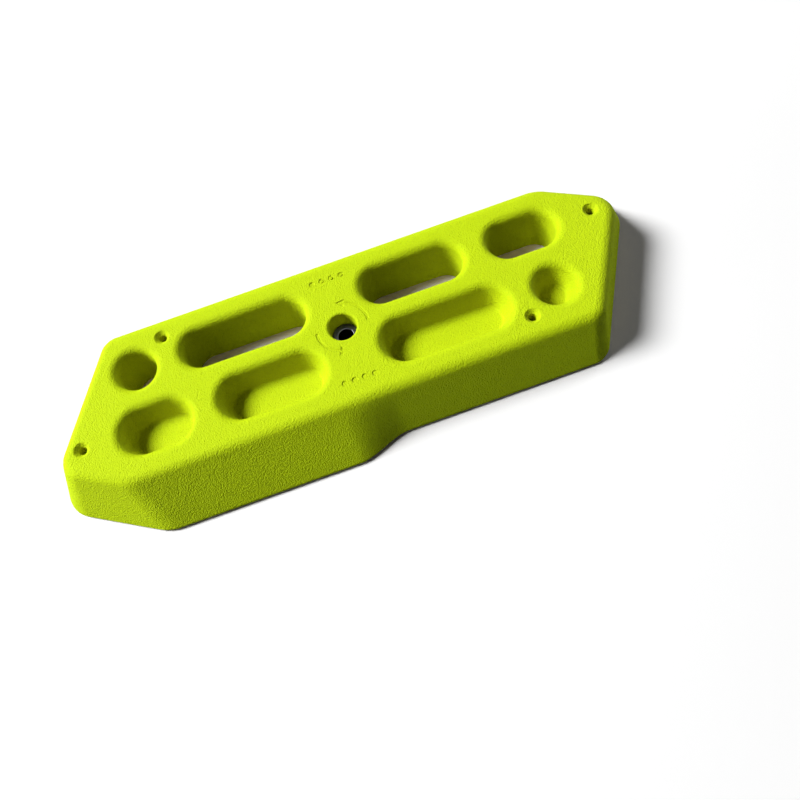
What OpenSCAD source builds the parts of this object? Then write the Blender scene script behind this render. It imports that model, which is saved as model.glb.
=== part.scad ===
// Climbing hangboard, one of a left and right pair, cast in resin.
// It turns about its centre bolt: the easy row of pockets or the hard row is then on top.
// The flat back is z = 0, +Z points out of the face, X runs along the board and
// +Y points to the easy row. The centre bolt's axis is the Z axis.
// A wall's lean is how much further out it stands at the back than at the face.

/* [Board blank] */
// Thickness, from the flat back to the face
board_t = 36; // [32:0.5:42]
// Pivot to the long edge at the easy row, where wall and face would meet
easy_edge = 53.5; // [52:0.1:58]
// Pivot to the long edge at the hard row, at face level
hard_edge = 55; // [53:0.1:60]
// Pivot to the slanted right end, at face level
right_end = 170.5; // [166:0.5:180]
// Pivot to the slanted left end, at face level
left_end = 167; // [166:0.5:180]
// Pivot to the upper right chamfer, at face level
upper_chamfer = 123.5; // [122:0.5:134]
// Pivot to the lower left chamfer, at face level
lower_chamfer = 128.5; // [122:0.5:134]
// Angle of the slanted ends from straight across
end_angle = 29; // [24:0.5:32]
// Angle of the corner chamfers from the long edges
chamfer_angle = 29.3; // [26:0.1:34]
// Lean of the slanted ends
end_lean = 9.5; // [4:0.5:14]
// Lean of the corner chamfers
chamfer_lean = 22.5; // [10:0.5:24]
// Lean of the long edge at the easy row
easy_edge_lean = 9.7; // [4:0.1:14]
// Radius between the walls and the face
face_fillet = 8.5; // [6:0.5:11]
// Radius along the back edge
back_fillet = 2; // [0.5:0.1:2.5]
// Plan radius of the two tips at face level
tip_face_r = 15; // [11:0.5:18]
// Plan radius of the two tips at the back
tip_back_r = 22; // [18:0.5:30]
// Plan radius at face level where a chamfer meets a long edge
chamfer_face_r = 25; // [12:0.5:30]
// Plan radius at the back where a chamfer meets a long edge
chamfer_back_r = 28; // [14:0.5:36]
// Plan radius at face level where an end meets a long edge
end_face_r = 13; // [11:0.5:16]
// Plan radius at the back where an end meets a long edge
end_back_r = 16; // [14:0.5:24]

/* [Sloper along the hard edge] */
// Lean of the flat sloper, the left half
flat_sloper_lean = 32; // [24:0.5:34]
// Lean of the steep sloper, the right half
steep_sloper_lean = 20.2; // [14:0.1:23]
// Length over which one sloper sweeps into the other
sloper_blend = 39; // [24:1:60]
// Place of the sweep's middle along the board
sloper_blend_x = 0; // [-12:1:12]

/* [Pockets] */
// Pivot to the middle of the easy row
easy_row_y = 22.5; // [21.5:0.1:24]
// Pivot to the middle of the hard row
hard_row_y = 23; // [22:0.1:24.5]
// Width of the easy pockets
easy_w = 28; // [24:0.5:29]
// Width of the hard pockets
hard_w = 31; // [26:0.5:31]
// Length of the four-finger pockets
four_len = 89; // [80:0.5:92]
// Length of the three-finger pockets
three_len = 73; // [64:0.5:75]
// Length of the two-finger pockets
two_len = 49; // [44:0.5:52]
// Diameter of the one-finger pockets
one_d = 27.5; // [22:0.5:29]
// Pivot to the middle of the four-finger pockets
four_x = 66; // [64:0.5:68]
// Pivot to the middle of the three-finger pockets
three_x = 57; // [55:0.5:60]
// Pivot to the middle of the two-finger pockets
two_x = 138; // [136:0.5:141]
// Pivot to the middle of the one-finger pockets
one_x = 143.5; // [141:0.5:146]
// Radius of the pockets' rounded lips
lip_r = 6; // [3:0.25:6.5]
// Depth of the closed pockets of the hard row
hard_depth = 18.5; // [15:0.5:22]
// Draft of the closed pockets' walls
hard_draft = 17.5; // [1:0.5:20]
// Radius round the closed pockets' floors
floor_r = 2; // [1:0.5:5]
// Incut of the open pockets of the easy row
incut_angle = 8; // [2:0.5:10]
// Chamfer between an open pocket's lip and its slot
throat_inset = 0.5; // [0.4:0.1:1]

/* [Pivot] */
// Bore for the centre bolt
bolt_bore_d = 10.5; // [8.5:0.1:11]
// Outside of the bush's sleeve
sleeve_d = 14; // [12.5:0.1:15]
// Outside of the bush's flange
flange_d = 19; // [17:0.1:20]
// Thickness of the bush's flange
flange_t = 3; // [2:0.1:4]
// Depth of the flange's top below the face
flange_depth = 14; // [10:0.5:18]
// Running clearance of the sleeve in the board, on the radius
run_gap = 0.06; // [0.02:0.01:0.1]
// Clearance round and under the flange
flange_gap = 0.25; // [0.15:0.05:0.4]
// Chamfer at the mouth of the pivot recess
recess_chamfer = 1.6; // [0.5:0.1:2]
// Chamfer on the bush's edges
bush_chamfer = 0.5; // [0.2:0.1:0.8]

/* [Screw holes] */
// Pivot to the two screws in the tips
tip_screw_r = 190; // [186:0.5:192]
// Direction of the upper right tip screw from the long axis
tip_screw_angle = 6.65; // [5:0.05:8]
// Pivot to the two screws near the long edges
edge_screw_r = 127; // [125:0.5:129]
// Direction of the upper left edge screw from the long axis
edge_screw_angle = 161.8; // [161:0.1:162.5]
// Screw clearance hole
screw_d = 5.5; // [4.5:0.1:6]
// Countersunk head of the screw
screw_head_d = 10; // [9:0.1:11]
// How far the screw's head lies below the face
screw_head_sink = 0.4; // [0.2:0.1:0.6]

/* [Marks on the face] */
// Depth of all the marks
mark_depth = 0.6; // [0.4:0.1:1]
// Radius of the two turn arrows, round the pivot
arrow_r = 18; // [17:0.5:19]
// Width of an arrow's shaft
arrow_w = 2.4; // [1.6:0.2:3]
// Sweep of an arrow's shaft
arrow_sweep = 73; // [60:1:80]
// Direction where the right arrow starts
arrow_start = -4; // [-8:1:2]
// Length of the arrowheads
arrow_head_len = 6.5; // [5:0.5:7]
// Width of the arrowheads
arrow_head_w = 7; // [5:0.5:8]
// Diameter of the pips that give each side's level
pip_d = 4.4; // [3.6:0.2:5]
// Distance from pip to pip
pip_pitch = 7; // [6:0.5:7.5]
// Number of pips in a row
pip_count = 4; // [3:1:4]
// Width of the ring that marks an empty pip
pip_ring_w = 0.9; // [0.6:0.1:1.2]
// Pivot to the easy side's row of pips
easy_pips_y = 39.2; // [38:0.2:40.4]
// Pivot to the hard side's row of pips
hard_pips_y = 40.5; // [39:0.5:43]

/* [Hidden] */
board_colour = [0.84, 0.97, 0.16];
steel_colour = [0.62, 0.63, 0.65];
eps = 0.5;
round_fn = 96;
small_fn = 48;
corner_steps = 8;
blend_steps = 16;
recess_d = flange_d + 2 * flange_gap;
flange_top_z = board_t - flange_depth;
recess_floor_z = flange_top_z - flange_t - flange_gap;
lip_end = 76; // where a lip's round meets the face, as an angle of its arc
lip_steps = 8;
floor_steps = 6;
arrow_steps = 12;
countersink_h = (screw_head_d - screw_d) / 2 + screw_head_sink;

// Outward directions of the six walls in plan, anticlockwise from the lower right end
wall_dirs = [-end_angle, 90 - chamfer_angle, 90, 180 - end_angle, 270 - chamfer_angle, 270];
wall_face = [right_end, upper_chamfer, easy_edge, left_end, lower_chamfer, hard_edge];
wall_lean = [end_lean, chamfer_lean, easy_edge_lean, end_lean, chamfer_lean, 0];
// The corner after each wall: a tip, a chamfer's corner or an end's corner, for each half
corner_face_r = [tip_face_r, chamfer_face_r, end_face_r, tip_face_r, chamfer_face_r, end_face_r];
corner_back_r = [tip_back_r, chamfer_back_r, end_back_r, tip_back_r, chamfer_back_r, end_back_r];

// Lean of the sloper wall at x, sweeping from the flat sloper to the steep one
function smooth(u) = u * u * (3 - 2 * u);
function sloper_lean(x) =
    let (u = min(1, max(0, (x - sloper_blend_x) / sloper_blend + 0.5)))
    flat_sloper_lean + (steep_sloper_lean - flat_sloper_lean) * smooth(u);

// Distance of a plain leaning wall from the pivot at height z
function plane_reach(face, lean, z) = face + lean * (1 - z / board_t);

// The same wall with its face fillet and its back edge radius
function reach(face, lean, z) =
    let (
        slope = atan(lean / board_t),
        top_z = board_t - face_fillet,
        top_c = plane_reach(face, lean, top_z) - face_fillet / cos(slope),
        low_c = plane_reach(face, lean, back_fillet) - back_fillet / cos(slope)
    )
    z > top_z + face_fillet * sin(slope) ? top_c + sqrt(max(0, face_fillet ^ 2 - (z - top_z) ^ 2)) :
    z < back_fillet * (1 + sin(slope)) ? low_c + sqrt(max(0, back_fillet ^ 2 - (z - back_fillet) ^ 2)) :
    plane_reach(face, lean, z);

// Where two walls meet, given their outward directions and distances
function meet(dir_a, reach_a, dir_b, reach_b) =
    let (turn = sin(dir_b - dir_a))
    [(reach_a * sin(dir_b) - reach_b * sin(dir_a)) / turn,
     (reach_b * cos(dir_a) - reach_a * cos(dir_b)) / turn];

// Lean of wall i at the corner before it (side 0) or after it (side 1)
function lean_at(i, side) =
    i < 5 ? wall_lean[i] : (side == 0 ? flat_sloper_lean : steep_sloper_lean);

// Points round the corner after wall i at height z
function corner(i, z) =
    let (
        j = (i + 1) % 6,
        dir_a = wall_dirs[i],
        dir_b = wall_dirs[j] + (j == 0 ? 360 : 0),
        reach_a = reach(wall_face[i], lean_at(i, 1), z),
        reach_b = reach(wall_face[j], lean_at(j, 0), z),
        inset_a = plane_reach(wall_face[i], lean_at(i, 1), z) - reach_a,
        inset_b = plane_reach(wall_face[j], lean_at(j, 0), z) - reach_b,
        plain_r = corner_back_r[i] + (corner_face_r[i] - corner_back_r[i]) * z / board_t,
        r = max(1, plain_r - (inset_a + inset_b) / 2),
        c = meet(dir_a, reach_a - r, dir_b, reach_b - r)
    )
    [for (k = [0 : corner_steps])
        let (a = dir_a + (dir_b - dir_a) * k / corner_steps)
        [c.x + r * cos(a), c.y + r * sin(a), z]];

// Points along the sloper wall where one sloper sweeps into the other
function sweep(z) =
    [for (k = [0 : blend_steps])
        let (x = sloper_blend_x + sloper_blend * (k / blend_steps - 0.5))
        [x, -reach(hard_edge, sloper_lean(x), z), z]];

function ring(z) =
    [for (i = [0 : 5]) each i == 4 ? concat(corner(i, z), sweep(z)) : corner(i, z)];

// Heights of the rings: the back edge radius, the flat walls, then the face fillet
back_steps = 3;
fillet_steps = 9;
fillet_start = atan(min(easy_edge_lean, end_lean) / board_t);
back_heights = [for (k = [0 : back_steps]) back_fillet * (1 - cos(90 * k / back_steps))];
wall_start_z = back_fillet * (1 + sin(atan(flat_sloper_lean / board_t)));
wall_heights = [wall_start_z, (wall_start_z + board_t - face_fillet) / 2];
fillet_heights = [for (k = [0 : fillet_steps])
    let (a = fillet_start + (90 - fillet_start) * k / fillet_steps)
    board_t - face_fillet * (1 - sin(a))];
ring_heights = concat(back_heights, wall_heights, fillet_heights);

module blank() {
    rings = [for (z = ring_heights) ring(z)];
    n = len(rings[0]);
    last = len(rings) - 1;
    sides = [for (k = [0 : last - 1], i = [0 : n - 1])
        let (a = k * n + i, b = k * n + (i + 1) % n)
        each [[a, a + n, b + n], [a, b + n, b]]];
    back = [for (i = [0 : n - 1]) i];
    face = [for (i = [n - 1 : -1 : 0]) last * n + i];
    polyhedron(points = [for (r = rings) each r], faces = concat([back], sides, [face]));
}

// Half section of a pocket's lip from its axis, from the turn where it meets the wall below
function lip_point(half_w, a) =
    [half_w + lip_r * (1 - cos(a)), board_t - lip_r * (1 - sin(a) / sin(lip_end))];
function lip_points(half_w, start) =
    [for (k = [0 : lip_steps]) lip_point(half_w, start + (lip_end - start) * k / lip_steps)];

// Lip of an open pocket, with a chamfer at its foot that meets the slot below
function open_section(half_w) = concat(
    [[0, board_t - lip_r - 3 * throat_inset],
     [half_w - 3 * throat_inset, board_t - lip_r - 3 * throat_inset],
     [half_w, board_t - lip_r]],
    lip_points(half_w, 0),
    [[half_w + lip_r * (1 - cos(lip_end)), board_t + eps], [0, board_t + eps]]);

// Slot below the lip, measured from the lip's foot
function throat_section(half_w) = [[0, -board_t], [half_w, -board_t], [half_w, eps], [0, eps]];

// Lip, drafted wall and rounded floor of a closed pocket
function closed_section(half_w) =
    let (
        floor_z = board_t - hard_depth,
        wall_top = lip_point(half_w, hard_draft),
        foot_x = wall_top.x - (wall_top.y - floor_z) * tan(hard_draft),
        c = [foot_x - floor_r * (1 / cos(hard_draft) - tan(hard_draft)), floor_z + floor_r]
    )
    concat(
        [[0, floor_z]],
        [for (k = [0 : floor_steps])
            let (a = -90 + (90 - hard_draft) * k / floor_steps)
            [c.x + floor_r * cos(a), c.y + floor_r * sin(a)]],
        lip_points(half_w, hard_draft),
        [[half_w + lip_r * (1 - cos(lip_end)), board_t + eps], [0, board_t + eps]]);

// Sweeps a half section round a slot of the given length, or round a round pocket
module swept_slot(section, length, w) {
    straight = length - w;
    for (side = straight > 0 ? [-1, 1] : [1])
        translate([side * max(0, straight) / 2, 0, 0])
            rotate([0, 0, side * -90])
                rotate_extrude(angle = straight > 0 ? 180 : 360, $fn = round_fn) polygon(section);
    if (straight > 0)
        for (side = [0, 180])
            rotate([90, 0, 90 + side])
                translate([0, 0, -straight / 2])
                    linear_extrude(straight) polygon(section);
}

module closed_pocket(x, length, w) {
    translate([x, -hard_row_y, 0]) swept_slot(closed_section(w / 2), length, w);
}

// An open pocket: a straight lip, and below it a slot that leans to its lower wall
module open_pocket(x, length, w) {
    translate([x, easy_row_y, 0]) {
        swept_slot(open_section(w / 2), length, w);
        translate([0, 0, board_t - lip_r])
            rotate([-incut_angle, 0, 0])
                swept_slot(throat_section(w / 2 - throat_inset),
                           length - 4 * throat_inset, w - 2 * throat_inset);
    }
}

module screw_hole(r, a) {
    rotate([0, 0, a])
        translate([r, 0, 0]) {
            translate([0, 0, -eps]) cylinder(h = board_t + 2 * eps, d = screw_d, $fn = small_fn);
            translate([0, 0, board_t - countersink_h])
                cylinder(h = countersink_h + eps, d1 = screw_d, d2 = screw_d + 2 * (countersink_h + eps),
                         $fn = small_fn);
        }
}

module pivot_recess() {
    translate([0, 0, -eps])
        cylinder(h = board_t + 2 * eps, d = sleeve_d + 2 * run_gap, $fn = round_fn);
    translate([0, 0, recess_floor_z])
        cylinder(h = board_t, d = recess_d, $fn = round_fn);
    translate([0, 0, board_t - recess_chamfer])
        cylinder(h = recess_chamfer + eps, d1 = recess_d, d2 = recess_d + 2 * (recess_chamfer + eps),
                 $fn = round_fn);
}

// A sunk arrow round the pivot: its shaft runs anticlockwise to the arrowhead
module turn_arrow() {
    head_dir = arrow_start + arrow_sweep;
    out = [cos(head_dir), sin(head_dir)];
    ahead = [-sin(head_dir), cos(head_dir)];
    dirs = [for (k = [0 : arrow_steps]) arrow_start + arrow_sweep * k / arrow_steps];
    outer_side = [for (a = dirs) (arrow_r + arrow_w / 2) * [cos(a), sin(a)]];
    inner_side = [for (k = [arrow_steps : -1 : 0])
        (arrow_r - arrow_w / 2) * [cos(dirs[k]), sin(dirs[k])]];
    head = [
        (arrow_r + arrow_head_w / 2) * out,
        arrow_r * out + arrow_head_len * ahead,
        (arrow_r - arrow_head_w / 2) * out
    ];
    translate([0, 0, board_t - mark_depth])
        linear_extrude(mark_depth + eps) polygon(concat(outer_side, head, inner_side));
}

// A row of pips at y: the first few are full, the others are rings
module pips(y, full) {
    for (k = [0 : pip_count - 1])
        translate([(k - (pip_count - 1) / 2) * pip_pitch, y, board_t - mark_depth])
            difference() {
                cylinder(h = mark_depth + eps, d = pip_d, $fn = small_fn);
                if (k >= full)
                    translate([0, 0, -eps])
                        cylinder(h = mark_depth + 3 * eps, d = pip_d - 2 * pip_ring_w, $fn = small_fn);
            }
}

// The cast resin board: its holes, pockets and arrows are point symmetric in plan
module board() {
    color(board_colour)
    difference() {
        blank();
        open_pocket(-four_x, four_len, easy_w);
        open_pocket(three_x, three_len, easy_w);
        open_pocket(two_x, two_len, easy_w);
        open_pocket(-one_x, one_d, one_d);
        closed_pocket(four_x, four_len, hard_w);
        closed_pocket(-three_x, three_len, hard_w);
        closed_pocket(-two_x, two_len, hard_w);
        closed_pocket(one_x, one_d, one_d);
        pivot_recess();
        for (half = [0, 180]) {
            screw_hole(tip_screw_r, tip_screw_angle + half);
            screw_hole(edge_screw_r, edge_screw_angle + half);
            rotate([0, 0, half]) turn_arrow();
        }
        pips(easy_pips_y, 1);
        pips(-hard_pips_y, pip_count);
    }
}

// The flanged steel bush that the centre bolt clamps to the wall, on which the board turns
module pivot_bush() {
    bore_r = bolt_bore_d / 2;
    flange_r = flange_d / 2;
    sleeve_r = sleeve_d / 2;
    flange_low_z = flange_top_z - flange_t;
    color(steel_colour)
    rotate_extrude($fn = round_fn)
    polygon([
        [bore_r, 0],
        [sleeve_r - bush_chamfer, 0],
        [sleeve_r, bush_chamfer],
        [sleeve_r, flange_low_z],
        [flange_r, flange_low_z],
        [flange_r, flange_top_z - bush_chamfer],
        [flange_r - bush_chamfer, flange_top_z],
        [bore_r + bush_chamfer, flange_top_z],
        [bore_r, flange_top_z - bush_chamfer]
    ]);
}

board();
pivot_bush();
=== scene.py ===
# %% [markdown]
# # A climbing hangboard
# The board is one casting of coloured resin with finger pockets in it, and it turns about a
# steel bush in its middle. The CAD model gives the frame: its flat back lies at z = 0, the
# face looks along +Z, X runs along the board and +Y points to the easy row of pockets.
# Loading it first means that every new piece can be put where the CAD says.

# %% Load the CAD frame
import math
import bmesh
import bpy
from mathutils import Matrix, Vector


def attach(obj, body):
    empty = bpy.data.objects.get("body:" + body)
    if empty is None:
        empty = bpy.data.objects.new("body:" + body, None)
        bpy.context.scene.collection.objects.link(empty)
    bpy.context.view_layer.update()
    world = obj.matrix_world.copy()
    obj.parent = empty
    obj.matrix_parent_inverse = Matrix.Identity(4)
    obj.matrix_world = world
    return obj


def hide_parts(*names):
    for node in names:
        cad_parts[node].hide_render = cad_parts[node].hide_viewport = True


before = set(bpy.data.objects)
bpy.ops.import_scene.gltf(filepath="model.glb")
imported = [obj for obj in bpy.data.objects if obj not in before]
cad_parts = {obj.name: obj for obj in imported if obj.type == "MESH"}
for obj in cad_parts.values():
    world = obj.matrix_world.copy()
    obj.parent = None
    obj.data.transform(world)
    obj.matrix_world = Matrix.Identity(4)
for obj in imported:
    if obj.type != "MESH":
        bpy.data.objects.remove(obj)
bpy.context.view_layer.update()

MM = 0.001  # one millimetre in Blender's metres

# %% [markdown]
# ## Outline of the board
# A maker of such a board shapes a foam or plywood master with six leaning walls, and casts a
# rubber mould from it. Each wall is flat, so a section of the board at any height is a
# six-sided figure with rounded corners. Such a form can be made by bevelling a box, but here
# each wall leans by its own amount and the corners open out towards the back. Sections that
# are bridged one to the next, as the planks of a hull follow its frames, keep all of that.

# %% Sizes of the walls, in millimetres and degrees
BOARD_T = 36.0
FACE_FILLET = 8.5
BACK_FILLET = 2.0
FLAT_SLOPER_LEAN = 32.0
STEEP_SLOPER_LEAN = 20.2
SWEEP_LEN = 39.0
SWEEP_X = 0.0
HARD_EDGE = 55.0
# Each wall, anticlockwise from the lower right end: its outward direction, its distance from
# the pivot at the face, how far it leans out at its start and at its end, and the plan
# radius of the corner after it, at the back and at the face
WALLS = [
    (-29.0, 170.4, 9.5, 9.5, 22.0, 15.0),
    (60.7, 123.5, 22.5, 22.5, 28.0, 25.0),
    (90.0, 53.5, 9.7, 9.7, 16.0, 13.0),
    (151.0, 166.9, 9.5, 9.5, 22.0, 15.0),
    (240.7, 128.5, 22.5, 22.5, 28.0, 25.0),
    (270.0, HARD_EDGE, FLAT_SLOPER_LEAN, STEEP_SLOPER_LEAN, 16.0, 13.0),
]
print("walls:", len(WALLS))


# %% How far out a wall stands at a height
def flat_reach(face, lean, z):
    """Distance of a flat leaning wall from the pivot, without its rounded edges."""
    return face + lean * (1 - z / BOARD_T)


def reach(face, lean, z):
    """The same wall with its round to the face and its small radius at the back."""
    slope = math.atan2(lean, BOARD_T)
    top_z = BOARD_T - FACE_FILLET
    if z > top_z + FACE_FILLET * math.sin(slope):
        centre = flat_reach(face, lean, top_z) - FACE_FILLET / math.cos(slope)
        return centre + math.sqrt(max(0.0, FACE_FILLET**2 - (z - top_z) ** 2))
    if z < BACK_FILLET * (1 + math.sin(slope)):
        centre = flat_reach(face, lean, BACK_FILLET) - BACK_FILLET / math.cos(slope)
        return centre + math.sqrt(max(0.0, BACK_FILLET**2 - (z - BACK_FILLET) ** 2))
    return flat_reach(face, lean, z)


def sloper_lean(x):
    """The hard edge's lean at x: the flat sloper sweeps into the steep one."""
    u = min(1.0, max(0.0, (x - SWEEP_X) / SWEEP_LEN + 0.5))
    return FLAT_SLOPER_LEAN + (STEEP_SLOPER_LEAN - FLAT_SLOPER_LEAN) * u * u * (3 - 2 * u)


print("sloper leans (mm):", sloper_lean(-40), sloper_lean(0), sloper_lean(40))

# %% One section of the board: six corner points, rounded by a vertex bevel
CORNER_STEPS = 12
SWEEP_STEPS = 28
MIN_CORNER_R = 1.0


def section(bm, z):
    """Adds the outline at height z as a closed loop of edges, and returns the edges."""
    before = set(bm.edges)
    points, rounds = [], []
    for i, (turn_a, face_a, _, lean_a, back_r, face_r) in enumerate(WALLS):
        turn_b, face_b, lean_b = WALLS[(i + 1) % 6][:3]
        reach_a, reach_b = reach(face_a, lean_a, z), reach(face_b, lean_b, z)
        a, b = math.radians(turn_a), math.radians(turn_b)
        s = math.sin(b - a)
        corner = Vector((reach_a * math.sin(b) - reach_b * math.sin(a),
                         reach_b * math.cos(a) - reach_a * math.cos(b))) / s
        inset_a = flat_reach(face_a, lean_a, z) - reach_a
        inset_b = flat_reach(face_b, lean_b, z) - reach_b
        plain_radius = back_r + (face_r - back_r) * z / BOARD_T
        radius = max(MIN_CORNER_R, plain_radius - (inset_a + inset_b) / 2)
        half_turn = math.radians((turn_b - turn_a) % 360) / 2
        if i == 5:
            for k in range(SWEEP_STEPS + 1):
                x = SWEEP_X + SWEEP_LEN * (k / SWEEP_STEPS - 0.5)
                points.append((x, -reach(HARD_EDGE, sloper_lean(x), z)))
        rounds.append((len(points), radius * math.tan(half_turn)))
        points.append(corner)
    loop = [bm.verts.new((p[0], p[1], z)) for p in points]
    for v, w in zip(loop, loop[1:] + loop[:1]):
        bm.edges.new((v, w))
    for v, offset in [(loop[k], offset) for k, offset in rounds]:
        bmesh.ops.bevel(bm, geom=[v], offset=offset, offset_type="OFFSET", segments=CORNER_STEPS,
                        profile=0.5, affect="VERTICES", clamp_overlap=False, material=-1)
    return [e for e in bm.edges if e not in before]


def bridge(bm, loops):
    """Joins each loop of edges to the next with a band of faces."""
    for a, b in zip(loops, loops[1:]):
        bmesh.ops.bridge_loops(bm, edges=a + b)


# %% The shell: sections from the back to the face, bridged
BACK_STEPS = 4
FILLET_STEPS = 14
board = bmesh.new()
wall_low = BACK_FILLET * (1 + math.sin(math.atan2(FLAT_SLOPER_LEAN, BOARD_T)))
wall_high = BOARD_T - FACE_FILLET
fillet_start = math.atan2(WALLS[0][2], BOARD_T)
heights = []
for k in range(BACK_STEPS + 1):
    heights.append(BACK_FILLET * (1 - math.cos(math.pi / 2 * k / BACK_STEPS)))
heights += [wall_low, (wall_low + wall_high) / 2, wall_high]
for k in range(FILLET_STEPS + 1):
    a = fillet_start + (math.pi / 2 - fillet_start) * k / FILLET_STEPS
    heights.append(BOARD_T - FACE_FILLET * (1 - math.sin(a)))
shell = [section(board, z) for z in heights]
bridge(board, shell)
back_rims, face_rims = [shell[0]], [shell[-1]]
print("shell:", len(shell), "sections,", len(board.faces), "faces")

# %% [markdown]
# ## Finger pockets
# Each pocket is a slot with round ends, and its lip is a soft quarter round so that fingers
# don't press on an edge. In a workshop it is routed into the master: one bit rounds the lip
# and another cuts the slot. The same could be done here by cutting with Booleans, but a cut
# leaves thin slivers where a round runs out into the face. A loop for each depth, bridged
# like the shell, has a lip that meets the face without a crease. A loop is a circle whose
# two halves are pulled apart, which is just what a router does when it moves sideways.

# %% A loop with round ends, and the profile of a lip
LOOP_STEPS = 72
LIP_R = 6.0
LIP_STEPS = 10


def slot_loop(bm, x, y, z, radius, straight=0.0):
    """A circle at (x, y, z), its two halves pulled apart along X by the straight length."""
    made = bmesh.ops.create_circle(
        bm, cap_ends=False, segments=LOOP_STEPS, radius=radius / math.cos(math.pi / LOOP_STEPS),
        matrix=Matrix.Translation((x, y, z)) @ Matrix.Rotation(math.pi / LOOP_STEPS, 4, "Z"))
    for side in (-1, 1):
        half = [v for v in made["verts"] if (v.co.x - x) * side > 0]
        bmesh.ops.translate(bm, vec=(side * straight / 2, 0, 0), verts=half)
    return list({e for v in made["verts"] for e in v.link_edges})


def lip(half_w, lip_r=LIP_R, steps=LIP_STEPS, draft=0.0):
    """(height, half width) down a lip that is tangent to the face and to the wall below."""
    turns = [math.pi / 2 - (math.pi / 2 - draft) * k / steps for k in range(steps + 1)]
    return [(BOARD_T - lip_r * (1 - math.sin(a)), half_w + lip_r * (1 - math.cos(a)))
            for a in turns]


print("lip of a 28 mm pocket:", [tuple(round(n, 2) for n in p) for p in lip(14.0)[::5]])

# %% [markdown]
# ### Open pockets of the easy row
# These slots go right through the board. Below the lip they lean 8 degrees towards their
# lower wall, so that the fingers hook over an edge that is a little incut. Each loop below
# the lip therefore moves down the board with depth, slowly at first, so that the lip rolls
# over into the slot.

# %% Open pockets
EASY_Y = 22.5
EASY_W = 28.0
INCUT = math.tan(math.radians(8.0))
ROLL_DEPTH = 6.0
BACK_EDGE_R = 0.8
OPEN_POCKETS = {"one": (-143.5, 27.5, 27.5), "four": (-66.0, 89.0, EASY_W),
                "three": (57.0, 73.0, EASY_W), "two": (138.0, 49.0, EASY_W)}


def incut_shift(z):
    """How far the slot has moved down the board at height z."""
    depth = max(0.0, BOARD_T - LIP_R + ROLL_DEPTH / 2 - z)
    return -INCUT * (depth**2 / (2 * ROLL_DEPTH) if depth < ROLL_DEPTH else depth - ROLL_DEPTH / 2)


for name, (x, length, width) in OPEN_POCKETS.items():
    depths = lip(width / 2)
    low = BOARD_T - LIP_R
    depths += [(z, width / 2) for z in (low - 1, low - 2, low - 3, low / 2, BACK_EDGE_R)]
    depths += [(BACK_EDGE_R * 0.3, width / 2 + BACK_EDGE_R * 0.3), (0.0, width / 2 + BACK_EDGE_R)]
    loops = [slot_loop(board, x, EASY_Y + incut_shift(z), z, w, length - width) for z, w in depths]
    bridge(board, loops)
    face_rims.append(loops[0])
    back_rims.append(loops[-1])
    print("open pocket", name, len(loops), "loops")

# %% [markdown]
# ### Closed pockets of the hard row
# These stop 18.5 mm below the face on a flat floor, just deep enough for the tips of the
# fingers. Their walls lean out by 17.5 degrees, so that the rubber plug that forms them pulls
# out of the casting, and meet the floor in a tight 2 mm round that shows as a thin dark line.

# %% Closed pockets
HARD_Y = -23.0
HARD_W = 31.0
HARD_DEPTH = 18.5
DRAFT = math.radians(17.5)
FLOOR_R = 2.0
FLOOR_STEPS = 6
CLOSED_POCKETS = {"two": (-138.0, 49.0, HARD_W), "three": (-57.0, 73.0, HARD_W),
                  "four": (66.0, 89.0, HARD_W), "one": (143.5, 27.5, 27.5)}


def closed_depths(half_w):
    """(height, half width) from the face over the lip and down the wall to the floor."""
    floor_z = BOARD_T - HARD_DEPTH
    depths = lip(half_w, draft=DRAFT)
    wall_z, wall_w = depths[-1]
    foot_w = wall_w - (wall_z - floor_z) * math.tan(DRAFT)
    round_w = foot_w - FLOOR_R * (1 / math.cos(DRAFT) - math.tan(DRAFT))
    turns = [-DRAFT - (math.pi / 2 - DRAFT) * k / FLOOR_STEPS for k in range(FLOOR_STEPS + 1)]
    return depths + [
        (floor_z + FLOOR_R * (1 + math.sin(a)), round_w + FLOOR_R * math.cos(a)) for a in turns]


for name, (x, length, width) in CLOSED_POCKETS.items():
    loops = [slot_loop(board, x, HARD_Y, z, w, length - width) for z, w in closed_depths(width / 2)]
    bridge(board, loops)
    bmesh.ops.contextual_create(board, geom=loops[-1])
    face_rims.append(loops[0])
    print("closed pocket", name, len(loops), "loops")

# %% [markdown]
# ## Pivot recess and screw holes
# The recess in the middle takes the flange of the steel bush, and the bore below it is the
# bearing on which the board turns. The four screw holes open to the face in a right-angled
# countersink with a soft edge. All are round, so each is a stack of circles.

# %% Pivot recess
RECESS_R = 9.75
RECESS_FLOOR_Z = 18.75
RECESS_LIP_R = 1.6
RECESS_LIP_STEPS = 5
RECESS_FLOOR_EDGE = 0.5
BEARING_R = 7.06
HOLE_EDGE = 0.3
loops = [slot_loop(board, 0, 0, z, r) for z, r in lip(RECESS_R, RECESS_LIP_R, RECESS_LIP_STEPS)]
loops += [slot_loop(board, 0, 0, z, r) for z, r in
          [(RECESS_FLOOR_Z + RECESS_FLOOR_EDGE, RECESS_R),
           (RECESS_FLOOR_Z, RECESS_R - RECESS_FLOOR_EDGE),
           (RECESS_FLOOR_Z, BEARING_R + HOLE_EDGE), (RECESS_FLOOR_Z - HOLE_EDGE, BEARING_R),
           (HOLE_EDGE, BEARING_R), (0.0, BEARING_R + HOLE_EDGE)]]
bridge(board, loops)
face_rims.append(loops[0])
back_rims.append(loops[-1])
print("pivot recess:", len(loops), "loops")

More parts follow.
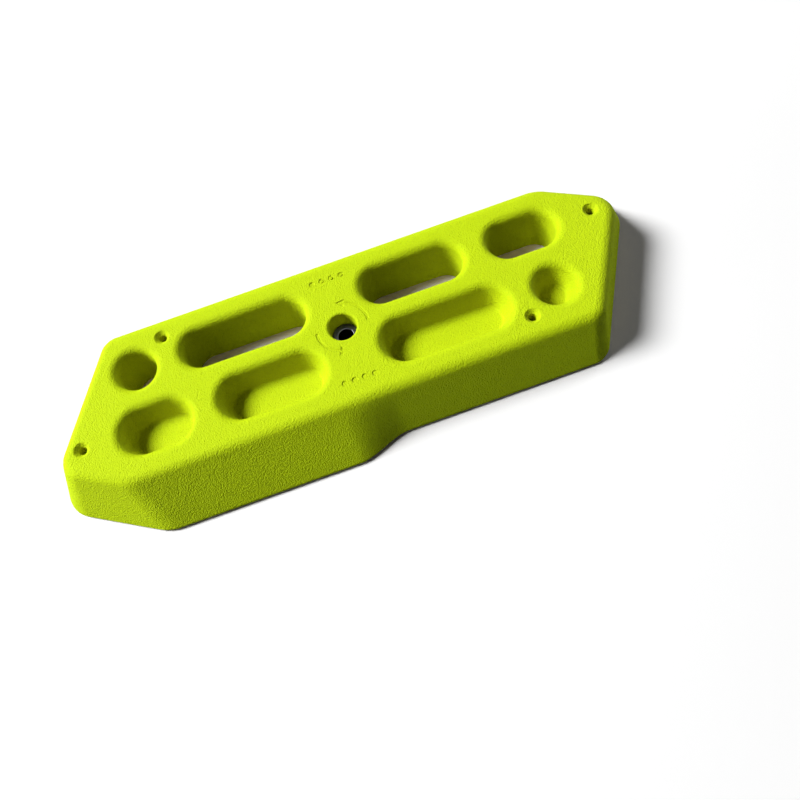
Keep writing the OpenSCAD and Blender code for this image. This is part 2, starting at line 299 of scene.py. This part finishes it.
# %% Screw holes
SCREW_R = 2.75
CONE_R = 5.4  # where the plain countersink would meet the face
CONE_LEAN = math.radians(45.0)
CONE_LIP_R = 1.2
CONE_LIP_STEPS = 4
SCREWS = [(190.0, 6.65), (127.0, 161.8)]
for reach_out, direction in [(r, d + half) for r, d in SCREWS for half in (0, 180)]:
    x = reach_out * math.cos(math.radians(direction))
    y = reach_out * math.sin(math.radians(direction))
    lip_foot_r = CONE_R - CONE_LIP_R * (1 - math.tan(CONE_LEAN / 2))
    depths = lip(lip_foot_r, CONE_LIP_R, CONE_LIP_STEPS, CONE_LEAN)
    depths += [(BOARD_T - (CONE_R - SCREW_R), SCREW_R),
               (HOLE_EDGE, SCREW_R), (0.0, SCREW_R + HOLE_EDGE)]
    loops = [slot_loop(board, x, y, z, r) for z, r in depths]
    bridge(board, loops)
    face_rims.append(loops[0])
    back_rims.append(loops[-1])
    print("screw hole at", round(x, 1), round(y, 1))

# %% [markdown]
# ## Marks on the face
# Two arrows round the pivot show that the board turns, and a row of pips on each side says
# how hard that row is: one full pip for the easy row, four for the hard one. They are raised
# on the mould, so the casting has them sunk by a little over half a millimetre, with soft
# edges. Each starts as a flat face at face level and is inset twice, going down, so that
# its rim is bevelled and the outer edge stays where the face will be filled in.

# %% Sinking a mark
MARK_RIM = 0.3
MARK_WALL = 0.1
MARK_DEPTH = 0.6


def inset(bm, faces, thickness, depth):
    """Insets the faces as one region. The faces themselves end up inside, moved by depth."""
    bmesh.ops.inset_region(bm, faces=faces, use_boundary=True, use_even_offset=True,
                           thickness=thickness, depth=depth)


def sink(bm, faces, sign=-1):
    """Sinks (or with sign=1 raises) the faces by the mark's depth, with a soft rim."""
    first, second = (MARK_RIM, MARK_WALL) if sign < 0 else (MARK_WALL, MARK_RIM)
    inset(bm, faces, first, sign * MARK_DEPTH / 2)
    inset(bm, faces, second, sign * MARK_DEPTH / 2)


def new_rim(bm, before):
    """The open edges that weren't there before: the outer edge of a mark."""
    return [e for e in bm.edges if e not in before and e.is_boundary]


# %% Turn arrows: an edge is spun round the pivot for the shaft, and the head is added
ARROW_R = 18.0
ARROW_W = 2.4
ARROW_START = -4.0
ARROW_SWEEP = 73.0
HEAD_LEN = 6.5
HEAD_W = 7.0
SPIN_STEPS = 16


def turn_arrow(bm, start):
    """An arrow anticlockwise round the pivot from the start direction."""
    faces_before = set(bm.faces)
    edges_before = set(bm.edges)
    a, b = math.radians(start), math.radians(start + ARROW_SWEEP)
    first = [bm.verts.new((r * math.cos(a), r * math.sin(a), BOARD_T))
             for r in (ARROW_R - ARROW_W / 2, ARROW_R + ARROW_W / 2)]
    spun = bmesh.ops.spin(bm, geom=first + [bm.edges.new(first)], cent=(0, 0, BOARD_T),
                          axis=(0, 0, 1), angle=b - a, steps=SPIN_STEPS)
    last = sorted((v for v in spun["geom_last"] if isinstance(v, bmesh.types.BMVert)),
                  key=lambda v: v.co.length)
    out = Vector((math.cos(b), math.sin(b), 0))
    ahead = Vector((-math.sin(b), math.cos(b), 0))
    middle = out * ARROW_R + Vector((0, 0, BOARD_T))
    head = [bm.verts.new(middle + out * HEAD_W / 2), bm.verts.new(middle + ahead * HEAD_LEN),
            bm.verts.new(middle - out * HEAD_W / 2)]
    bm.faces.new([last[1], *head, last[0]])
    faces = [f for f in bm.faces if f not in faces_before]
    bmesh.ops.recalc_face_normals(bm, faces=faces)
    if faces[0].normal.z < 0:
        bmesh.ops.reverse_faces(bm, faces=faces)
    sink(bm, faces)
    return new_rim(bm, edges_before)


for half in (0, 180):
    face_rims.append(turn_arrow(board, ARROW_START + half))
print("arrows:", [len(rim) for rim in face_rims[-2:]], "rim edges")

# %% Pips: a full one is a sunk disc, an empty one a sunk ring
PIP_R = 2.2
PIP_RING_W = 0.9
PIP_PITCH = 7.0
PIP_COUNT = 4
PIP_STEPS = 32
EASY_PIPS_Y = 39.2
HARD_PIPS_Y = -40.5


def pip(bm, x, y, full):
    """One pip; returns its rim."""
    edges_before = set(bm.edges)
    made = bmesh.ops.create_circle(bm, cap_ends=True, segments=PIP_STEPS, radius=PIP_R,
                                   matrix=Matrix.Translation((x, y, BOARD_T)))
    face = made["verts"][0].link_faces[0]
    if face.normal.z < 0:
        bmesh.ops.reverse_faces(bm, faces=[face])
    sink(bm, [face])
    if not full:
        inset(bm, [face], PIP_RING_W - MARK_RIM - MARK_WALL, 0)
        sink(bm, [face], sign=1)
    return new_rim(bm, edges_before)


for y, full in ((EASY_PIPS_Y, 1), (HARD_PIPS_Y, PIP_COUNT)):
    for k in range(PIP_COUNT):
        x = (k - (PIP_COUNT - 1) / 2) * PIP_PITCH
        face_rims.append(pip(board, x, y, k < full))
print("pips:", 2 * PIP_COUNT)

# %% [markdown]
# ## Face and back
# The face is a flat plate with a hole for every pocket, screw and mark, and the back has one
# for everything that comes through. triangle_fill closes the space between an outer loop and
# the loops inside it, so both sheets come from the rims that were kept on the way.

# %% Fill the face and the back, then measure the casting
MERGE_DIST = 0.0005
for rims, side in ((face_rims, 1), (back_rims, -1)):
    edges = [e for rim in rims for e in rim]
    made = bmesh.ops.triangle_fill(board, use_beauty=True, edges=edges, normal=(0, 0, side))
    triangles = [f for f in made["geom"] if isinstance(f, bmesh.types.BMFace)]
    print("filled", len(triangles), "triangles")
bmesh.ops.remove_doubles(board, verts=board.verts, dist=MERGE_DIST)
bmesh.ops.recalc_face_normals(board, faces=board.faces)
print("board:", len(board.faces), "faces,", round(board.calc_volume() / 1000, 1), "cm3,",
      sum(not e.is_manifold for e in board.edges), "open edges")

# %% The board as an object
SHARP = math.radians(35.0)
FLAT_NORMAL_Z = 0.9999


def make_piece(bm, name, body, node):
    """Turns a bmesh in millimetres into a finished piece that stands for a CAD node."""
    bmesh.ops.scale(bm, vec=(MM, MM, MM), verts=bm.verts)
    for f in bm.faces:
        f.smooth = abs(f.normal.z) < FLAT_NORMAL_Z
    for e in bm.edges:
        e.smooth = e.calc_face_angle(0.0) < SHARP
    mesh = bpy.data.meshes.new(name)
    bm.to_mesh(mesh)
    bm.free()
    piece = bpy.data.objects.new(name, mesh)
    bpy.context.scene.collection.objects.link(piece)
    weighted = piece.modifiers.new("weighted_normals", "WEIGHTED_NORMAL")
    weighted.keep_sharp = True
    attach(piece, body)
    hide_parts(node)
    return piece


casting = make_piece(board, "resin_casting", "board", "board")
print("casting:", len(casting.data.polygons), "faces")

# %% [markdown]
# ## Steel bush
# The bush is turned from bar: a sleeve with a flange on top, a bore for the centre bolt and
# small chamfers where the tool broke the edges. Half of its section, spun once round the
# axis, is what a lathe makes.

# %% Turn the bush
SLEEVE_R = 7.0
FLANGE_R = 9.5
FLANGE_T = 3.0
FLANGE_TOP_Z = 22.0
BOLT_BORE_R = 5.25
BUSH_EDGE = 0.5
BUSH_EDGE_STEPS = 3
TURN_STEPS = 96
bush = bmesh.new()
half_section = [(BOLT_BORE_R, 0), (SLEEVE_R, 0), (SLEEVE_R, FLANGE_TOP_Z - FLANGE_T),
                (FLANGE_R, FLANGE_TOP_Z - FLANGE_T), (FLANGE_R, FLANGE_TOP_Z),
                (BOLT_BORE_R, FLANGE_TOP_Z)]
ring = [bush.verts.new((x, 0, z)) for x, z in half_section]
for v, w in zip(ring, ring[1:] + ring[:1]):
    bush.edges.new((v, w))
for v in [ring[k] for k in (1, 4, 5)]:
    bmesh.ops.bevel(bush, geom=[v], offset=BUSH_EDGE, offset_type="OFFSET",
                    segments=BUSH_EDGE_STEPS, profile=0.5, affect="VERTICES",
                    clamp_overlap=False, material=-1)
bmesh.ops.spin(bush, geom=bush.verts[:] + bush.edges[:], cent=(0, 0, 0), axis=(0, 0, 1),
               angle=2 * math.pi, steps=TURN_STEPS, use_merge=True)
bmesh.ops.remove_doubles(bush, verts=bush.verts, dist=MERGE_DIST)
bmesh.ops.recalc_face_normals(bush, faces=bush.faces)
print("bush:", len(bush.faces), "faces,", sum(not e.is_manifold for e in bush.edges), "open edges")
bushing = make_piece(bush, "turned_bush", "pivot_bush", "pivot_bush")

# %% [markdown]
# ## Materials
# A helper adds a node, sets its sockets and links its inputs. Colours are written in the
# sRGB hex values that a paint program shows, and one function turns them into the linear
# values that the renderer works with.

# %% Helpers for materials


def linear(hex_colour):
    """An sRGB hex colour as linear RGBA."""
    parts = [int(hex_colour[i:i + 2], 16) / 255 for i in (1, 3, 5)]
    return [c / 12.92 if c <= 0.04045 else ((c + 0.055) / 1.055) ** 2.4 for c in parts] + [1.0]


def add(tree, kind, settings=None, links=None):
    """Adds a node. Settings are its properties or sockets, links its inputs' sources."""
    made = tree.nodes.new(kind)
    for key, value in (settings or {}).items():
        if isinstance(key, str) and hasattr(made, key):
            setattr(made, key, value)
        else:
            made.inputs[key].default_value = value
    for key, source in (links or {}).items():
        tree.links.new(source, made.inputs[key])
    return made


def new_material(name):
    """An empty node material."""
    material = bpy.data.materials.new(name)
    material.use_nodes = True
    material.node_tree.nodes.clear()
    return material, material.node_tree


print("lime in linear:", [round(c, 3) for c in linear("#D9F724")])

# %% [markdown]
# ### Cast polyurethane resin with a sand texture
# The resin is coloured all through and cast against rubber that was taken off a master
# sprayed with texture paint. That leaves fine rounded grains under a millimetre across,
# which give grip and break up every highlight, so the surface looks matt. The colour is
# painted a little darker between the grains, as painted shade in the pits. Light that has
# already bounced off the resin once is given a duller greyish olive instead of the lime:
# that is painted shade, and it is why the pockets are olive inside.

# %% Resin material
GRAIN = 0.85 * MM  # the real sand is half as wide; this is as fine as it shows from arm's length
GRAIN_DEPTH = 0.5 * MM
PIT_HEIGHT = -0.25
TOP_HEIGHT = 0.35
# painted shade: the lime is darker down in the pits between the grains
PAINTED_PIT_SHADE = linear("#C2DE0F")
TOP_COLOUR = linear("#CEE910")
# painted shade: light that has bounced once off the resin takes this duller olive instead of the
# lime
BOUNCE_SHADE_COLOUR = linear("#BDB478")
resin, tree = new_material("sand_textured_resin")
place = add(tree, "ShaderNodeTexCoord").outputs["Object"]
grains = add(tree, "ShaderNodeTexNoise", {"Scale": 1 / GRAIN, "Detail": 2.0, "Roughness": 0.6},
             {"Vector": place})
pits = add(tree, "ShaderNodeTexVoronoi", {"Scale": 1 / GRAIN, "feature": "SMOOTH_F1"},
           {"Vector": place})
height = add(tree, "ShaderNodeMath", {"operation": "SUBTRACT"},
             {0: grains.outputs["Fac"], 1: pits.outputs["Distance"]})
bump = add(tree, "ShaderNodeBump", {"Strength": 1.0, "Distance": GRAIN_DEPTH},
           {"Height": height.outputs["Value"]})
# painted shade in the pits: the height between the grains picks the darker pit colour
pit_shade_mask = add(tree, "ShaderNodeMapRange", {"From Min": PIT_HEIGHT, "From Max": TOP_HEIGHT},
           {"Value": height.outputs["Value"]})
first = add(tree, "ShaderNodeMix", {"data_type": "RGBA", 6: PAINTED_PIT_SHADE, 7: TOP_COLOUR},
            {0: pit_shade_mask.outputs["Result"]})
# painted shade: diffuse bounces see the olive, so pockets and creases come out darker
second_ray = add(tree, "ShaderNodeLightPath").outputs["Is Diffuse Ray"]
colour = add(tree, "ShaderNodeMix", {"data_type": "RGBA", 7: BOUNCE_SHADE_COLOUR},
             {0: second_ray, 6: first.outputs[2]})
shader = add(tree, "ShaderNodeBsdfPrincipled",
             {"Roughness": 0.7, "IOR": 1.5, "Specular IOR Level": 0.1},
             {"Base Color": colour.outputs[2], "Normal": bump.outputs["Normal"]})
add(tree, "ShaderNodeOutputMaterial", None, {"Surface": shader.outputs["BSDF"]})
casting.data.materials.append(resin)
print("resin: grains of", GRAIN / MM, "mm")

# %% [markdown]
# ### Zinc-plated steel
# The bush is turned mild steel, zinc plated and passivated, which keeps off rust. The lathe
# leaves fine rings. The steel is given a dark grey with a blue cast, so the flange shows as
# a dark ring with one glint.

# %% Steel material
RING = 0.25 * MM
RING_DEPTH = 0.02 * MM
WAVE = 2 * math.pi / 20  # from ring to ring in a wave texture of scale 1
steel, tree = new_material("zinc_plated_steel")
place = add(tree, "ShaderNodeTexCoord").outputs["Object"]
rings = add(tree, "ShaderNodeTexWave", {"wave_type": "RINGS", "rings_direction": "Z",
                                        "Scale": WAVE / RING, "Distortion": 0.4},
            {"Vector": place})
bump = add(tree, "ShaderNodeBump", {"Strength": 0.2, "Distance": RING_DEPTH},
           {"Height": rings.outputs["Fac"]})
shader = add(tree, "ShaderNodeBsdfPrincipled",
             {"Base Color": linear("#63636D"), "Metallic": 1.0, "Roughness": 0.28},
             {"Normal": bump.outputs["Normal"]})
add(tree, "ShaderNodeOutputMaterial", None, {"Surface": shader.outputs["BSDF"]})
bushing.data.materials.append(steel)
print("steel: rings every", RING / MM, "mm")

# %% [markdown]
# ## Floor, light and camera
# The board lies on a white sheet under one large soft lamp that stands up and to the left
# behind it. Two weak ones, low on the left and behind on the right, stand for what the room's
# walls throw back. The camera sees the sheet as white, and further out it fades to plain
# white, so that no horizon shows, while the board gets the light of a greyer one.

# %% Floor
FLOOR_HALF = 6.0
FLOOR_Z = -0.0002
FADE_START = 0.3
FADE_END = 0.9
WHITE = linear("#FFFFFF")
GREY = linear("#909090")
sheet = bmesh.new()
bmesh.ops.create_grid(sheet, x_segments=1, y_segments=1, size=FLOOR_HALF)
floor_mesh = bpy.data.meshes.new("floor")
sheet.to_mesh(floor_mesh)
sheet.free()
floor = bpy.data.objects.new("floor", floor_mesh)
floor.location.z = FLOOR_Z
bpy.context.scene.collection.objects.link(floor)
paper, tree = new_material("white_paper")
ray = add(tree, "ShaderNodeLightPath")
paper_colour = add(tree, "ShaderNodeMix", {"data_type": "RGBA", 6: GREY, 7: WHITE},
                   {0: ray.outputs["Is Camera Ray"]})
shader = add(tree, "ShaderNodeBsdfDiffuse", None, {"Color": paper_colour.outputs[2]})
place = add(tree, "ShaderNodeTexCoord").outputs["Object"]
distance = add(tree, "ShaderNodeVectorMath", {"operation": "LENGTH"}, {0: place})
fade = add(tree, "ShaderNodeMapRange", {"interpolation_type": "SMOOTHSTEP",
                                        "From Min": FADE_START, "From Max": FADE_END},
           {"Value": distance.outputs["Value"]})
seen_fade = add(tree, "ShaderNodeMath", {"operation": "MULTIPLY"},
                {0: fade.outputs["Result"], 1: ray.outputs["Is Camera Ray"]})
white = add(tree, "ShaderNodeEmission", {"Color": WHITE, "Strength": 1.0})
far = add(tree, "ShaderNodeMixShader", None, {
    0: seen_fade.outputs["Value"], 1: shader.outputs["BSDF"], 2: white.outputs["Emission"]})
add(tree, "ShaderNodeOutputMaterial", None, {"Surface": far.outputs["Shader"]})
floor_mesh.materials.append(paper)
print("floor:", 2 * FLOOR_HALF, "m wide")

# %% Light
FILL = 0.027


def lamp(name, direction, distance, size, watts):
    """A round soft lamp that stands in the given direction and looks at the board."""
    data = bpy.data.lights.new(name, "AREA")
    data.shape = "DISK"
    data.size = size
    data.energy = watts
    made = bpy.data.objects.new(name, data)
    out = Vector(direction).normalized()
    made.location = out * distance
    made.rotation_mode = "QUATERNION"
    made.rotation_quaternion = out.to_track_quat("Z", "Y")
    bpy.context.scene.collection.objects.link(made)
    return made


lamps = [lamp("key", (-1.0, 0.48, 1.0), 5.0, 2.0, 390.0),
         lamp("left_low", (-1.0, -0.2, 0.1), 2.0, 0.8, 5.0),
         lamp("back_right", (0.8, 0.5, 0.2), 2.0, 0.8, 9.0)]

world = bpy.data.worlds.new("pale_room")
world.use_nodes = True
bpy.context.scene.world = world
tree = world.node_tree
tree.nodes.clear()
room = add(tree, "ShaderNodeBackground", {"Color": WHITE, "Strength": FILL})
seen = add(tree, "ShaderNodeBackground", {"Color": WHITE, "Strength": 1.0})
ray = add(tree, "ShaderNodeLightPath")
direct = add(tree, "ShaderNodeMath", {"operation": "MAXIMUM"},
             {0: ray.outputs["Is Camera Ray"], 1: ray.outputs["Is Glossy Ray"]})
either = add(tree, "ShaderNodeMixShader", None, {
    0: direct.outputs["Value"], 1: room.outputs["Background"], 2: seen.outputs["Background"]})
add(tree, "ShaderNodeOutputWorld", None, {"Surface": either.outputs["Shader"]})
print("lamps at", [[round(c, 2) for c in made.location] for made in lamps])

# %% Camera at the photograph's angle
LENS_MM = 31.25
SENSOR_MM = 36.0
CAM_PLACE = (0.0111, -0.2313, 0.4482)
CAM_UP = (0.3353, 0.8709, 0.3594)
CAM_BACK = (-0.0191, -0.3751, 0.9268)
cam_data = bpy.data.cameras.new("camera")
cam_data.lens = LENS_MM
cam_data.sensor_width = SENSOR_MM
cam_data.sensor_fit = "HORIZONTAL"
cam_data.clip_start = 0.01
cam_data.clip_end = 50.0
camera = bpy.data.objects.new("camera", cam_data)
cam_up = Vector(CAM_UP).normalized()
cam_back = Vector(CAM_BACK).normalized()
cam_right = cam_up.cross(cam_back).normalized()
cam_up = cam_back.cross(cam_right)
turn = Matrix((cam_right, cam_up, cam_back)).transposed().to_4x4()
camera.matrix_world = Matrix.Translation(CAM_PLACE) @ turn
bpy.context.scene.collection.objects.link(camera)
bpy.context.scene.camera = camera
bpy.context.scene.view_settings.view_transform = "Standard"
print("camera at", [round(c, 4) for c in camera.location])
